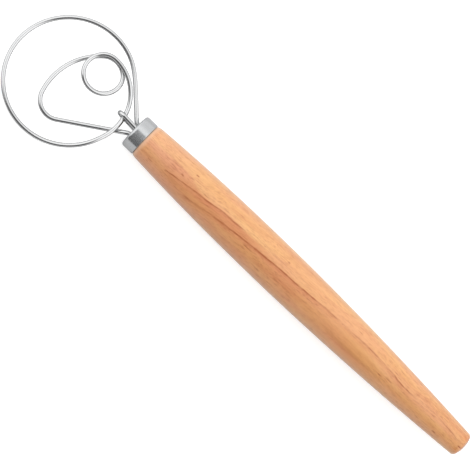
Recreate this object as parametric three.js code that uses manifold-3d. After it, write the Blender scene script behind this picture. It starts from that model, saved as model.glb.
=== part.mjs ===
// A dough whisk: a turned wooden handle with a drawn steel ferrule, and a flat head bent from one
// stiff steel wire. A short hairpin of the same wire stands out of the ferrule, and the head wire
// runs through its bend. Glue in the handle's bore holds all four wire ends.
//
// Sizes are in millimetres and angles in degrees. The pieces are modelled with the handle's axis
// along X and the head at +X. X is 0 at the ferrule's front face. Seen from above, with the head
// away from the viewer, Y is to the left and Z, the level of a wire, is towards the viewer.
import * as THREE from "three";
import { mergeVertices } from "three/addons/utils/BufferGeometryUtils.js";
import Module from "manifold-3d";

// Wire, and the clearances that the pieces share
const wireDiameter = 2.6;
const wireRadius = wireDiameter / 2;
const strandGap = 0.45; // between two strands of the head where one crosses the other
const fitGap = 0.3; // between two pieces that seat on each other

// Handle, measured from its shoulder, the step that the ferrule's edge meets
const handleLength = 248.25;
const bellyRadius = 13.67;
const bellyFromShoulder = 96.55;
const shoulderRadius = 10.92; // where the swell would begin if its edge were sharp
const shoulderEase = 0.6; // how far the eased edge lies inside that
const shoulderEaseLength = 3;
const buttRadius = 7.45; // where the taper would end if the butt were cut square
const buttCorner = 2.6;
const buttDome = 0.75; // how far the butt's rounded end stands out behind its corner
const buttFlatRadius = 2.5;
const swellPower = 2.3;
const taperPower = 1.8;

// Ferrule, measured from its front face
const ferruleRadius = 10.7;
const ferruleLength = 8.2;
const ferruleWall = 0.7;
const ferruleCorner = 1.6;

// Bore and glue
const legDepth = 40; // of the head wire's two legs, behind the ferrule's front face
const boreBeyondLegs = 4;
const glueWall = 1.4; // between the outermost leg and the wood
const glueRecess = 0.5; // behind the ferrule's front face
const drillPointAngle = 118;

// Legs of the head wire: each bends at the ferrule's mouth, where its two straights would meet
const bendFromFace = 0.85;

// Left leg of the head wire, the one that the ring crosses over, then the tip and arm of the loop
const leftLegGap = 0.9; // between this leg and a wire on the handle's axis
const leftLegBend = 4;
const leftLegTurn = 33.2;
const leftLegRun = 40.45;
const tipRadius = 11.04;
const tipTurn = 106.8;
const armRadius = 36.44;
const armTurn = 66;

// Curl, the small full turn at the right of the head
const curlRadius = 11.38;
const curlFromFace = 34.29;
const curlToRight = 10.93;
const curlStart = 177.6; // angles about its centre, from +X towards +Y
const curlEnd = 43.5;

// Strand between the curl and the eye, and the eye itself
const strandRadius = 25.95;
const strandTurn = 78.3;
const eyeFromFace = 9.09;
const eyeAhead = 0.3; // of the middle of the strand to the middle of the hairpin's bend
const eyeToRight = 1.24;
const eyeHeading = 103; // of the strand as it passes through the eye, from +X towards +Y
const eyeClearance = 0.45; // between the strand and the hairpin's bend
const eyeLegDepth = 25; // behind the ferrule's front face
const eyeLean = 8.5; // of the hairpin's plane, its upper leg to the right
const eyeTurn = 3; // of the hairpin's tip to the right

// Ring, which hand bending left slightly oval
const ringLongRadius = 37.15;
const ringShortRadius = 35.9;
const ringLongTurn = 34.8; // of its long axis, from +X towards +Y
const ringFromFace = 45.2;
const ringToLeft = 5.76;
const ringStart = 159.8; // directions from its centre, where the ring leaves for its neighbours
const ringEnd = -112;

// Right leg of the head wire
const rightLegGap = 0.4; // between this leg and a wire on the handle's axis
const rightLegBend = 5;
const rightLegTurn = 44.2;
const rightLegRun = 14;

// How far each join's handles reach, as a share of the distance that it spans
const armJoinShare = 0.46;
const curlJoinShare = 0.45;
const ringJoinShare = 0.39;
const legJoinShare = 0.33;

// The shares of a piece between which its level changes
const leftLegRiseShares = [0, 0.17];
const curlRiseShares = [0, 1];
const strandRiseShares = [0.35, 1];
const ringJoinRiseShares = [0, 0.42];
const ringRiseShares = [0, 0.24];

// Facets
const roundSides = 40;
const wireSides = 12;
const headWireSteps = 220;
const eyeWireSteps = 56;
const socketSteps = 24;
const swellSteps = 12;
const taperSteps = 14;
const easeSteps = 4;
const cornerSteps = 5;

// Levels and places that several pieces share
const crossLevel = wireRadius + strandGap / 2; // of each strand where two cross
const leftLegOffset = wireDiameter + leftLegGap;
const rightLegOffset = wireDiameter + rightLegGap;
const boreRadius = leftLegOffset + wireRadius + glueWall;
const boreDepth = legDepth + boreBeyondLegs;
const spigotRadius = ferruleRadius - ferruleWall - fitGap;
const spigotFront = -(ferruleWall + fitGap);
const spigotCorner = Math.max(ferruleCorner - ferruleWall - fitGap, 0);
const shoulder = -(ferruleLength + fitGap);
const eyeBend = wireDiameter + eyeClearance; // the bend's radius to the middle of the wire
const drillPoint = 1 / Math.tan(radians(drillPointAngle) / 2); // its depth over its radius

function radians(degrees) {
  return THREE.MathUtils.degToRad(degrees);
}

// The unit vector in the head's plane at an angle from +X towards +Y.
function headingVector(degrees) {
  return new THREE.Vector2(Math.cos(radians(degrees)), Math.sin(radians(degrees)));
}

// Points on a circular arc of a profile, from one angle to another.
function arcPoints(centreRadius, centreAlong, radius, from, to) {
  return Array.from({ length: cornerSteps + 1 }, (_, i) => {
    const angle = radians(THREE.MathUtils.lerp(from, to, i / cornerSteps));
    return new THREE.Vector2(
      centreRadius + radius * Math.cos(angle),
      centreAlong + radius * Math.sin(angle),
    );
  });
}

// A solid turned about X from a profile of (radius, place along X).
function turned(profile) {
  return new THREE.LatheGeometry(profile, roundSides).rotateZ(-Math.PI / 2);
}

// Radius of the handle's swell and taper at a distance behind the shoulder.
function handleRadius(behind) {
  if (behind < bellyFromShoulder) {
    const share = (bellyFromShoulder - behind) / bellyFromShoulder;
    const ease = Math.max(1 - behind / shoulderEaseLength, 0);
    const swell = (bellyRadius - shoulderRadius) * share ** swellPower;
    return bellyRadius - swell - shoulderEase * ease ** 2;
  }
  const share = (behind - bellyFromShoulder) / (handleLength - bellyFromShoulder);
  return bellyRadius - (bellyRadius - buttRadius) * share ** taperPower;
}

// Points of the handle's side between two distances behind the shoulder.
function sidePoints(from, to, steps) {
  return Array.from({ length: steps + 1 }, (_, i) => {
    const behind = THREE.MathUtils.lerp(from, to, i / steps);
    return new THREE.Vector2(handleRadius(behind), shoulder - behind);
  });
}

// The handle: a bore with a drill point, a spigot inside the ferrule, the swelling side and the butt.
function handleGeometry() {
  const butt = shoulder - handleLength;
  const cornerAlong = butt + buttDome + buttCorner;
  const sideEnd = shoulder - cornerAlong;
  const corner = handleRadius(sideEnd) - buttCorner;
  const profile = [
    new THREE.Vector2(0, -boreDepth - boreRadius * drillPoint),
    new THREE.Vector2(boreRadius, -boreDepth),
    new THREE.Vector2(boreRadius, spigotFront),
    ...arcPoints(spigotRadius - spigotCorner, spigotFront - spigotCorner, spigotCorner, 90, 0),
    new THREE.Vector2(spigotRadius, shoulder),
    ...sidePoints(0, shoulderEaseLength, easeSteps),
    ...sidePoints(shoulderEaseLength, bellyFromShoulder, swellSteps).slice(1),
    ...sidePoints(bellyFromShoulder, sideEnd, taperSteps).slice(1),
    ...arcPoints(corner, cornerAlong, buttCorner, 0, -90).slice(1),
    new THREE.Vector2(buttFlatRadius, butt),
    new THREE.Vector2(0, butt),
  ];
  return turned(profile.reverse());
}

// The ferrule: a drawn cap with a rounded front edge and a round mouth as wide as the bore.
function ferruleGeometry() {
  const inside = Math.max(ferruleCorner - ferruleWall, 0);
  const cornerRadius = ferruleRadius - ferruleCorner;
  const innerCorner = ferruleRadius - ferruleWall - inside;
  const profile = [
    new THREE.Vector2(boreRadius, 0),
    ...arcPoints(cornerRadius, -ferruleCorner, ferruleCorner, 90, 0),
    new THREE.Vector2(ferruleRadius, -ferruleLength),
    new THREE.Vector2(ferruleRadius - ferruleWall, -ferruleLength),
    ...arcPoints(innerCorner, -ferruleWall - inside, inside, 0, 90),
    new THREE.Vector2(boreRadius, -ferruleWall),
    new THREE.Vector2(boreRadius, 0),
  ];
  return turned(profile.reverse());
}

// A plan curve run the other way.
class Backwards extends THREE.Curve {
  constructor(curve) {
    super();
    this.curve = curve;
  }

  getPoint(t, target = new THREE.Vector2()) {
    return this.curve.getPoint(1 - t, target);
  }
}

// A straight of the plan, from a point along a heading.
function straight(start, heading, length) {
  const end = start.clone().addScaledVector(headingVector(heading), length);
  return new THREE.LineCurve(start, end);
}

// A round bend of the plan, from a point along a heading. A positive turn is to the left.
function bend(start, heading, radius, turn) {
  const side = Math.sign(turn) * 90;
  const centre = start.clone().addScaledVector(headingVector(heading + side), radius);
  const from = heading - side;
  return new THREE.EllipseCurve(
    centre.x,
    centre.y,
    radius,
    radius,
    radians(from),
    radians(from + turn),
    turn < 0,
  );
}

// A smooth join from the end of one plan curve to the start of another.
function join(before, after, share) {
  const start = before.getPoint(1);
  const end = after.getPoint(0);
  const reach = start.distanceTo(end) * share;
  return new THREE.CubicBezierCurve(
    start,
    start.clone().addScaledVector(before.getTangent(1), reach),
    end.clone().addScaledVector(after.getTangent(0), -reach),
    end,
  );
}

// A leg in plan: along the bore, round its bend at the ferrule's mouth and straight on for its run.
function legPlan(offset, depth, radius, turn, run) {
  const bendStart = bendFromFace - radius * Math.tan(radians(Math.abs(turn)) / 2);
  const inside = straight(new THREE.Vector2(-depth, offset), 0, depth + bendStart);
  const round = bend(inside.getPoint(1), 0, radius, turn);
  return [inside, round, straight(round.getPoint(1), turn, run)];
}

function leftLegPlan(depth) {
  return legPlan(leftLegOffset, depth, leftLegBend, leftLegTurn, leftLegRun);
}

function rightLegPlan(depth) {
  return legPlan(-rightLegOffset, depth, rightLegBend, -rightLegTurn, rightLegRun);
}

// A wire whose plan is a row of curves, each with the level that it reaches and the shares of it
// between which the level changes.
class BentWire extends THREE.Curve {
  constructor(pieces) {
    super();
    this.pieces = pieces;
    this.ends = [];
    let total = 0;
    for (const { plan } of pieces) {
      total += plan.getLength();
      this.ends.push(total);
    }
  }

  getPoint(t, target = new THREE.Vector3()) {
    const along = t * this.ends.at(-1);
    const found = this.ends.findIndex((end) => along <= end);
    const index = found < 0 ? this.ends.length - 1 : found;
    const before = index ? this.ends[index - 1] : 0;
    const share = Math.min((along - before) / (this.ends[index] - before), 1);
    const { plan, level, rise } = this.pieces[index];
    const lastLevel = index ? this.pieces[index - 1].level : level;
    const eased = THREE.MathUtils.smoothstep(share, rise[0], rise[1]);
    const point = plan.getPointAt(share);
    return target.set(point.x, point.y, THREE.MathUtils.lerp(lastLevel, level, eased));
  }
}

function piece(plan, level, rise = [0, 1]) {
  return { plan, level, rise };
}

// The head wire's plan and levels, from the end of its left leg to the end of its right one.
function headWirePieces() {
  const [leftInside, leftRound, leftRun] = leftLegPlan(legDepth);
  const tip = bend(leftRun.getPoint(1), leftLegTurn, tipRadius, -tipTurn);
  const arm = bend(tip.getPoint(1), leftLegTurn - tipTurn, armRadius, -armTurn);
  const curl = new THREE.EllipseCurve(
    curlFromFace,
    -curlToRight,
    curlRadius,
    curlRadius,
    radians(curlStart),
    radians(curlEnd),
    true,
  );
  const eye = new THREE.Vector2(eyeFromFace, -eyeToRight);
  const strand = new Backwards(bend(eye, eyeHeading - 180, strandRadius, strandTurn));
  const ring = new THREE.EllipseCurve(
    ringFromFace,
    ringToLeft,
    ringLongRadius,
    ringShortRadius,
    radians(ringStart - ringLongTurn),
    radians(ringEnd - ringLongTurn),
    true,
    radians(ringLongTurn),
  );
  const rightLeg = rightLegPlan(legDepth).map((plan) => new Backwards(plan));
  const [rightInside, rightRound, rightRun] = rightLeg;
  return [
    piece(leftInside, 0),
    piece(leftRound, 0),
    piece(leftRun, -crossLevel, leftLegRiseShares),
    piece(tip, -crossLevel),
    piece(arm, -crossLevel),
    piece(join(arm, curl, armJoinShare), -crossLevel),
    piece(curl, crossLevel, curlRiseShares),
    piece(join(curl, strand, curlJoinShare), crossLevel),
    piece(strand, 0, strandRiseShares),
    piece(join(strand, ring, ringJoinShare), crossLevel, ringJoinRiseShares),
    piece(ring, 0, ringRiseShares),
    piece(join(ring, rightRun, legJoinShare), 0),
    piece(rightRun, 0),
    piece(rightRound, 0),
    piece(rightInside, 0),
  ];
}

// The hairpin, drawn upright with its bend at the origin and its legs towards -X, then leaned over
// and turned so that its bend goes round the head wire. Its legs end at a depth in the bore.
class HairpinWire extends THREE.Curve {
  constructor(depth) {
    super();
    this.centre = new THREE.Vector3(eyeFromFace + eyeAhead, -eyeToRight, 0);
    this.legLength = this.centre.x + depth;
  }

  getPoint(t, target = new THREE.Vector3()) {
    const half = (Math.PI * eyeBend) / 2;
    const along = (t * 2 - 1) * (this.legLength + half);
    const angle = THREE.MathUtils.clamp(along, -half, half) / eyeBend;
    const straightPart = Math.max(Math.abs(along) - half, 0);
    target.set(eyeBend * Math.cos(angle) - straightPart, 0, eyeBend * Math.sin(angle));
    return target
      .applyAxisAngle(new THREE.Vector3(1, 0, 0), radians(eyeLean))
      .applyAxisAngle(new THREE.Vector3(0, 0, 1), -radians(eyeTurn))
      .add(this.centre);
  }
}

// A round wire of a given radius along a curve, closed at both ends.
function wireGeometry(path, radius, steps) {
  const section = Array.from({ length: wireSides }, (_, i) => {
    const angle = (i / wireSides) * 2 * Math.PI;
    return new THREE.Vector2(radius * Math.cos(angle), radius * Math.sin(angle));
  });
  return new THREE.ExtrudeGeometry(new THREE.Shape(section), {
    steps,
    extrudePath: path,
    bevelEnabled: false,
  });
}

const wasm = await Module();
wasm.setup();

// A closed geometry as a solid for cutting.
function solidOf(geometry) {
  const bare = geometry.clone();
  bare.deleteAttribute("normal");
  bare.deleteAttribute("uv");
  const merged = mergeVertices(bare);
  return new wasm.Manifold(
    new wasm.Mesh({
      numProp: 3,
      vertProperties: merged.attributes.position.array,
      triVerts: merged.index.array,
    }),
  );
}

// The geometry of a solid.
function geometryOf(solid) {
  const mesh = solid.getMesh();
  return new THREE.BufferGeometry()
    .setAttribute("position", new THREE.BufferAttribute(mesh.vertProperties, 3))
    .setIndex(new THREE.BufferAttribute(mesh.triVerts, 1));
}

// The glue: a plug that fills the bore to just behind the ferrule's face, with a socket for each leg.
function glueGeometry() {
  const radius = boreRadius - fitGap;
  const back = -boreDepth + fitGap;
  const profile = [
    new THREE.Vector2(0, back - radius * drillPoint),
    new THREE.Vector2(radius, back),
    new THREE.Vector2(radius, -glueRecess),
    new THREE.Vector2(0, -glueRecess),
  ];
  const sockets = [leftLegPlan, rightLegPlan].map((legPlanAt) => {
    const plans = legPlanAt(legDepth + fitGap);
    return new BentWire(plans.map((plan) => piece(plan, 0)));
  });
  sockets.push(new HairpinWire(eyeLegDepth + fitGap));
  return geometryOf(
    sockets.reduce(
      (plug, path) => plug.subtract(solidOf(wireGeometry(path, wireRadius + fitGap, socketSteps))),
      solidOf(turned(profile)),
    ),
  );
}

const wood = new THREE.MeshStandardMaterial({ color: 0xdca87c, roughness: 0.5, metalness: 0 });
const drawnSteel = new THREE.MeshStandardMaterial({ color: 0xb4b4b4, roughness: 0.4, metalness: 1 });
const wireSteel = new THREE.MeshStandardMaterial({ color: 0xcfd0d1, roughness: 0.2, metalness: 1 });
const glue = new THREE.MeshStandardMaterial({ color: 0xb9a67c, roughness: 0.45, metalness: 0 });

function named(name, geometry, material) {
  const mesh = new THREE.Mesh(geometry, material);
  mesh.name = name;
  return mesh;
}

const headWire = new BentWire(headWirePieces());
const eyeWire = new HairpinWire(eyeLegDepth);

const whisk = new THREE.Group().add(
  named("handle", handleGeometry(), wood),
  named("ferrule", ferruleGeometry(), drawnSteel),
  named("head_wire", wireGeometry(headWire, wireRadius, headWireSteps), wireSteel),
  named("eye_wire", wireGeometry(eyeWire, wireRadius, eyeWireSteps), wireSteel),
  named("adhesive_plug", glueGeometry(), glue),
);

// At rest the whisk lies on the handle's belly and has rolled to its left until the ring's left side
// touches the surface too.
const ringLeftReach =
  ringToLeft +
  Math.hypot(
    ringLongRadius * Math.sin(radians(ringLongTurn)),
    ringShortRadius * Math.cos(radians(ringLongTurn)),
  );
whisk.rotation.x = -Math.asin((bellyRadius - wireRadius) / ringLeftReach);

// The origin is at the middle of the bounding box's base.
const box = new THREE.Box3().setFromObject(whisk, true);
const middle = box.getCenter(new THREE.Vector3());
whisk.position.set(-middle.x, -middle.y, -box.min.z);

const group = new THREE.Group().add(whisk);

export default group;
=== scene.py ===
# %% [markdown]
# # A dough whisk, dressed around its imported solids
# The whisk has a turned wooden handle, a drawn steel ferrule, a head bent from one stiff steel
# wire, a small hairpin of the same wire, and the glue that holds them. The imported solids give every
# size and place. This file makes a finer surface for each piece, gives each its finish, and sets up
# the studio. Everything is in metres, in the frame of the solids.

# %% Load the solids and measure them
import math

import bpy
import numpy as np
from mathutils import Matrix, Vector


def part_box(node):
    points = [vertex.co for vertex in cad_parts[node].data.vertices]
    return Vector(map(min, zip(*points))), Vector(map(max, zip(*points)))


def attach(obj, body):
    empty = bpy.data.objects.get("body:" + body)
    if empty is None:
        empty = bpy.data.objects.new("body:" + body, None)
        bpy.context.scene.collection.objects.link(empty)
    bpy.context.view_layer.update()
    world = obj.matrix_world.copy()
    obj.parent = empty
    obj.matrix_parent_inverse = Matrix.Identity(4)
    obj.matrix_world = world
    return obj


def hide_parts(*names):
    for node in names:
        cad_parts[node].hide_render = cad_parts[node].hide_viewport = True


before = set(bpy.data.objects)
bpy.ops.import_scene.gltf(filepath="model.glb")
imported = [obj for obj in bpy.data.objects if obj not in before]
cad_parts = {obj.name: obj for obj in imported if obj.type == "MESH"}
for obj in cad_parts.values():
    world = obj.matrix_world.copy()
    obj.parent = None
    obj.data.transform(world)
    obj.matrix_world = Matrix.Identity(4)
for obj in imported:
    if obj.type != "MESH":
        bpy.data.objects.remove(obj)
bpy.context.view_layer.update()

# %% [markdown]
# ## Sizes
# A maker thinks of this whisk in millimetres and degrees, so the sizes are written that way and
# multiplied by `mm` only when a surface is finished. They are the sizes that the solids were built
# with. Along the handle, X is 0 at the ferrule's front face and grows towards the head.

# %% Sizes of the pieces
mm = 0.001
WIRE_RADIUS = 1.3
CROSS_LEVEL = 1.525  # of each strand, above or below the head's plane, where two cross
FIT_GAP = 0.3

HANDLE_LENGTH = 248.25
SOLID_BELLY = 13.67
BELLY_RADIUS = SOLID_BELLY - 0.01  # a hair inside, so that the skin stays above the table
BELLY_BEHIND = 96.55  # behind the shoulder
SHOULDER_RADIUS = 10.92
SHOULDER_EASE, SHOULDER_EASE_LENGTH = 0.6, 3
SWELL_POWER, TAPER_POWER = 2.3, 1.8
BUTT_RADIUS, BUTT_CORNER, BUTT_DOME, BUTT_FLAT = 7.45, 2.6, 0.75, 2.5

FERRULE_RADIUS, FERRULE_LENGTH = 10.69, 8.2
FERRULE_WALL, FERRULE_CORNER = 0.7, 1.6
BORE_RADIUS, BORE_DEPTH, BORE_POINT = 6.2, 44, 3.72
GLUE_RECESS, GLUE_POINT = 0.5, 3.24
NEAR_AXIS = 0.02  # radius of the last ring before a surface closes on the axis
LEG_DEPTH, EYE_DEPTH = 40, 25
SHOULDER = -(FERRULE_LENGTH + FIT_GAP)
print("handle", HANDLE_LENGTH, "mm long behind a shoulder at", SHOULDER, "mm")

# %% [markdown]
# ## Where the whisk lies
# The solids lie as the real whisk does on a table: on the handle's belly, rolled until the ring's
# left side touches too. A point of the whisk is worked out upright first, with the head's plane
# level, and is then rolled about the handle's axis and moved onto that axis. Both the roll and the
# axis come from the solids themselves.

# %% Roll and place
RING_LONG, RING_SHORT, RING_TURN = 37.15, 35.9, 34.8
RING_CENTRE = np.array([45.2, 5.76])
ring_turn = math.radians(RING_TURN)
ring_reach = RING_CENTRE[1] + math.hypot(
    RING_LONG * math.sin(ring_turn), RING_SHORT * math.cos(ring_turn)
)
ROLL = math.asin((SOLID_BELLY - WIRE_RADIUS) / ring_reach)
roll_cos, roll_sin = math.cos(ROLL), math.sin(ROLL)

handle_low, handle_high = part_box("handle")
ferrule_low, ferrule_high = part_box("ferrule")
AXIS = np.array(
    [
        ferrule_high.x,
        (handle_low.y + handle_high.y) / 2,
        (handle_low.z + handle_high.z) / 2,
    ]
)


def placed(points):
    """Upright points in mm, rolled and moved to their place in metres.

    y' = y cos(roll) + z sin(roll) and z' = z cos(roll) - y sin(roll), then all are added to AXIS.
    """
    x, y, z = np.moveaxis(np.asarray(points, float), -1, 0)
    turned = np.stack([x, y * roll_cos + z * roll_sin, z * roll_cos - y * roll_sin], -1)
    return turned * mm + AXIS


print("roll", round(math.degrees(ROLL), 3), "degrees; ferrule's face at", AXIS.round(5))

# %% [markdown]
# ## The camera
# The photograph looks straight down on the head's plane through a long lens, with the handle
# running from the upper left to the lower right. A long lens far away keeps the two ends the same
# size. The camera's three axes are written in the whisk's upright frame and then rolled with it.

# %% Camera
FRAME_WIDTH = 0.26381  # of the head's plane, from side to side of the picture
CAMERA_DISTANCE = 2.0
SENSOR = 36.0
AIM = [-81.716, 3.284, 0]  # of the whisk, in the middle of the picture
RIGHT, UP, BACK = [-720.03, -693.94, 0], [693.94, -720.03, 0], [0, 0, 1000]

aim = placed(AIM)
right, up, back = (placed(axis) - placed([0, 0, 0]) for axis in (RIGHT, UP, BACK))
camera = bpy.data.objects.new("camera", bpy.data.cameras.new("camera"))
bpy.context.scene.collection.objects.link(camera)
camera.data.sensor_width = SENSOR
camera.data.lens = SENSOR * CAMERA_DISTANCE / FRAME_WIDTH
turn = Matrix([Vector(v).normalized() for v in (right, up, back)]).transposed().to_4x4()
camera.matrix_world = Matrix.Translation(Vector(aim + back * CAMERA_DISTANCE)) @ turn
bpy.context.scene.camera = camera
print("camera at", [round(v, 3) for v in camera.location], "lens", round(camera.data.lens, 1))

# %% [markdown]
# ## From a grid of points to a closed mesh
# Every piece here is a skin over a grid: rows along the piece and columns around it. The last
# column joins the first, and a row that shrinks to one point closes an end. The same grid gives
# the map that the finish can be baked to, so the rows and columns are also its two directions.

# %% A skin over a grid
SHARP_EDGE = math.radians(32)
END_MARGIN, SIDE_MARGIN = 0.01, 0.03  # round each strip of the map


def new_piece(name, points, faces, corners, straight=None):
    """A smooth-shaded piece from its points, its faces and each face corner's place on the map."""
    mesh = bpy.data.meshes.new(name)
    mesh.from_pydata(points.reshape(-1, 3).tolist(), [], faces)
    mesh.polygons.foreach_set("use_smooth", np.ones(len(mesh.polygons), bool))
    mesh.set_sharp_from_angle(angle=SHARP_EDGE)
    mesh.uv_layers.new(name="OFBake").uv.foreach_set("vector", corners.astype(np.float32).ravel())
    if straight is not None:
        values = mesh.attributes.new("straight", "FLOAT_VECTOR", "POINT").data
        values.foreach_set("vector", straight.astype(np.float32).ravel())
    mesh.validate()
    piece = bpy.data.objects.new(name, mesh)
    bpy.context.scene.collection.objects.link(piece)
    print(name, len(mesh.polygons), "faces")
    return piece


def skin(name, rows, straight=None, strips=1):
    """A closed mesh over rows of points, an array of shape (rows, columns, 3) in metres.

    Face (i, j) joins points (i, j), (i, j + 1), (i + 1, j + 1) and (i + 1, j), columns counted
    round. The first and last rows are closed by a fan to their middle. `straight` gives each
    point's place on the piece straightened out, for patterns that follow it. The map's height is
    cut into `strips` laid side by side.
    """
    count, around = rows.shape[:2]
    i, j = np.meshgrid(np.arange(count - 1), np.arange(around), indexing="ij")
    nxt = (j + 1) % around
    quads = np.stack(
        [i * around + j, i * around + nxt, (i + 1) * around + nxt, (i + 1) * around + j], -1
    ).reshape(-1, 4)
    j = np.arange(around)
    nxt = (j + 1) % around
    first = np.stack([np.full(around, count * around), nxt, j], -1)
    base = (count - 1) * around
    last = np.stack([np.full(around, count * around + 1), base + j, base + nxt], -1)
    faces = quads.tolist() + first.tolist() + last.tolist()

    lengths = np.linalg.norm(np.diff(rows, axis=0), axis=-1).mean(-1)
    along = np.concatenate([[0], np.cumsum(lengths)]) / lengths.sum()
    along = along * (1 - 2 * END_MARGIN) + END_MARGIN
    u0, u1 = j / around, (j + 1) / around
    low, high = along[:-1, None], along[1:, None]
    strip = np.minimum(np.floor((low + high) / 2 * strips), strips - 1)

    def within(u, column):
        return (column + SIDE_MARGIN + (1 - 2 * SIDE_MARGIN) * u) / strips

    def corner(u, v):
        u, v = np.broadcast_arrays(u, v)
        return np.stack([within(u, strip), v * strips - strip], -1)

    side = np.stack([corner(u0, low), corner(u1, low), corner(u1, high), corner(u0, high)], 2)
    fans = np.zeros((2, around, 3, 2))
    near, far = END_MARGIN, 1 - END_MARGIN
    for k, (v, tip_v, column) in enumerate(((near, 0.0, 0), (far, 1.0, strips - 1))):
        inner, outer = (u1, u0) if k == 0 else (u0, u1)
        us = within(np.stack([(u0 + u1) / 2, inner, outer], -1), column)
        vs = np.stack([np.full(around, tip_v), np.full(around, v), np.full(around, v)], -1)
        fans[k] = np.stack([us, vs * strips - column], -1)
    corners = np.concatenate([side.reshape(-1, 2), fans.reshape(-1, 2)])

    def with_ends(grid):
        return np.concatenate([grid.reshape(-1, 3), grid[:1].mean(1), grid[-1:].mean(1)])

    if straight is not None:
        straight = with_ends(straight)
    return new_piece(name, with_ends(rows), faces, corners, straight)


# %% [markdown]
# ## Turned pieces
# The handle and the ferrule are turned on a lathe, so each is a profile carried round the handle's
# axis. A profile is a list of points (place along the axis, radius), closed curves and corners
# worked out as arrays.


# %% A profile carried round the axis
def corner_arc(centre_x, centre_radius, radius, start, end, count=14):
    """Profile points on an arc: centre plus radius times (sin, cos) of the angle from outwards."""
    angle = np.radians(np.linspace(start, end, count))
    return np.stack(
        [centre_x + radius * np.sin(angle), centre_radius + radius * np.cos(angle)], -1
    )


def ends_of(*pairs):
    """Profile points given one by one."""
    return np.array(pairs, float)


def lathed(profile, around):
    """Rows of a turned surface: (x, radius cos a, radius sin a) for each angle a round the axis."""
    x, radius = profile.T[:, :, None]
    a = np.linspace(0, 2 * np.pi, around, endpoint=False)[None]
    return np.stack([x + 0 * a, radius * np.cos(a), radius * np.sin(a)], -1)


# %% [markdown]
# ## The handle
# A wood turner cuts this handle as one long swell, fullest a little ahead of the middle, eased to
# a small step behind the ferrule and drawn in towards a rounded butt. Two power curves that meet
# at the belly with no kink give that line. The butt's corner is a true arc, and the end behind it
# is a shallow dome with a small flat in the middle, where the turning was parted off.


# %% The handle's surface
def handle_radius(behind):
    """Radius at a distance behind the shoulder.

    Ahead of the belly the radius falls short of the belly's by the share of the way, to the power
    2.3, of what the shoulder lacks, and by a squared ease at the very edge. Behind it the radius
    falls short by the share of the way to the butt, to the power 1.8, of what the butt lacks.
    """
    ahead = np.clip((BELLY_BEHIND - behind) / BELLY_BEHIND, 0, 1)
    after = np.clip((behind - BELLY_BEHIND) / (HANDLE_LENGTH - BELLY_BEHIND), 0, 1)
    ease = np.clip(1 - behind / SHOULDER_EASE_LENGTH, 0, 1)
    return (
        BELLY_RADIUS
        - (BELLY_RADIUS - SHOULDER_RADIUS) * ahead**SWELL_POWER
        - (BELLY_RADIUS - BUTT_RADIUS) * after**TAPER_POWER
        - SHOULDER_EASE * ease**2
    )


BUTT = SHOULDER - HANDLE_LENGTH
corner_x = BUTT + BUTT_DOME + BUTT_CORNER
corner_behind = SHOULDER - corner_x
corner_radius = handle_radius(corner_behind) - BUTT_CORNER
eased = np.linspace(0, SHOULDER_EASE_LENGTH, 22)
behind = np.concatenate([eased, np.linspace(SHOULDER_EASE_LENGTH, corner_behind, 200)[1:]])
CORNER_TURN = 75
arc = corner_arc(corner_x, corner_radius, BUTT_CORNER, 0, -CORNER_TURN, 22)
DOME_SOFTNESS = 0.18
share = np.linspace(1, 0, 20)[1:]
dome_shape = (np.hypot(share, DOME_SOFTNESS) - DOME_SOFTNESS) / (
    math.hypot(1, DOME_SOFTNESS) - DOME_SOFTNESS
)
dome = np.stack(
    [
        BUTT + (arc[-1, 0] - BUTT) * dome_shape,
        BUTT_FLAT + (arc[-1, 1] - BUTT_FLAT) * share,
    ],
    -1,
)
SPIGOT_RADIUS = FERRULE_RADIUS - FERRULE_WALL - FIT_GAP
SPIGOT_FRONT = -(FERRULE_WALL + FIT_GAP)
SPIGOT_CORNER = FERRULE_CORNER - FERRULE_WALL - FIT_GAP
bore_end = (-BORE_DEPTH - BORE_POINT, NEAR_AXIS)
profile = np.concatenate(
    [
        ends_of(bore_end, (-BORE_DEPTH, BORE_RADIUS), (SPIGOT_FRONT, BORE_RADIUS)),
        corner_arc(
            SPIGOT_FRONT - SPIGOT_CORNER, SPIGOT_RADIUS - SPIGOT_CORNER, SPIGOT_CORNER, 90, 0
        ),
        ends_of((SHOULDER, SPIGOT_RADIUS)),
        np.stack([SHOULDER - behind, handle_radius(behind)], -1),
        arc[1:],
        dome,
        ends_of((BUTT, 1.2), (BUTT, NEAR_AXIS)),
    ]
)
handle = skin("turned_handle", placed(lathed(profile[::-1], 176)))

# %% [markdown]
# ## The ferrule
# The ferrule is a cap drawn from thin steel sheet, so its front corner is a generous radius, its
# wall is the sheet's thickness and its cut edges are just broken. It covers the end of the wood
# and leaves a round mouth for the wires.

# %% The ferrule's surface
BROKEN_EDGE = 0.12
inner_corner = FERRULE_CORNER - FERRULE_WALL
outside = FERRULE_RADIUS - FERRULE_CORNER
back_end = -FERRULE_LENGTH
half_wall = FERRULE_WALL / 2
side = np.linspace(-FERRULE_CORNER - 0.3, back_end + 0.4, 16)
profile = np.concatenate(
    [
        corner_arc(-half_wall, BORE_RADIUS + half_wall, half_wall, 270, 90, 18),
        corner_arc(-FERRULE_CORNER, outside, FERRULE_CORNER, 90, 0, 30),
        np.stack([side, np.full(len(side), FERRULE_RADIUS)], -1),
        corner_arc(back_end + BROKEN_EDGE, FERRULE_RADIUS - BROKEN_EDGE, BROKEN_EDGE, 0, -90, 5),
        ends_of((back_end, FERRULE_RADIUS - FERRULE_WALL)),
        corner_arc(-FERRULE_CORNER, outside, inner_corner, 0, 90, 16),
    ]
)
rows = lathed(profile[::-1], 192)

# %% [markdown]
# The ferrule's profile comes back to where it began, so its skin is a ring and has no ends to
# close. The same grid serves: its last row is joined to the first.


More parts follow.
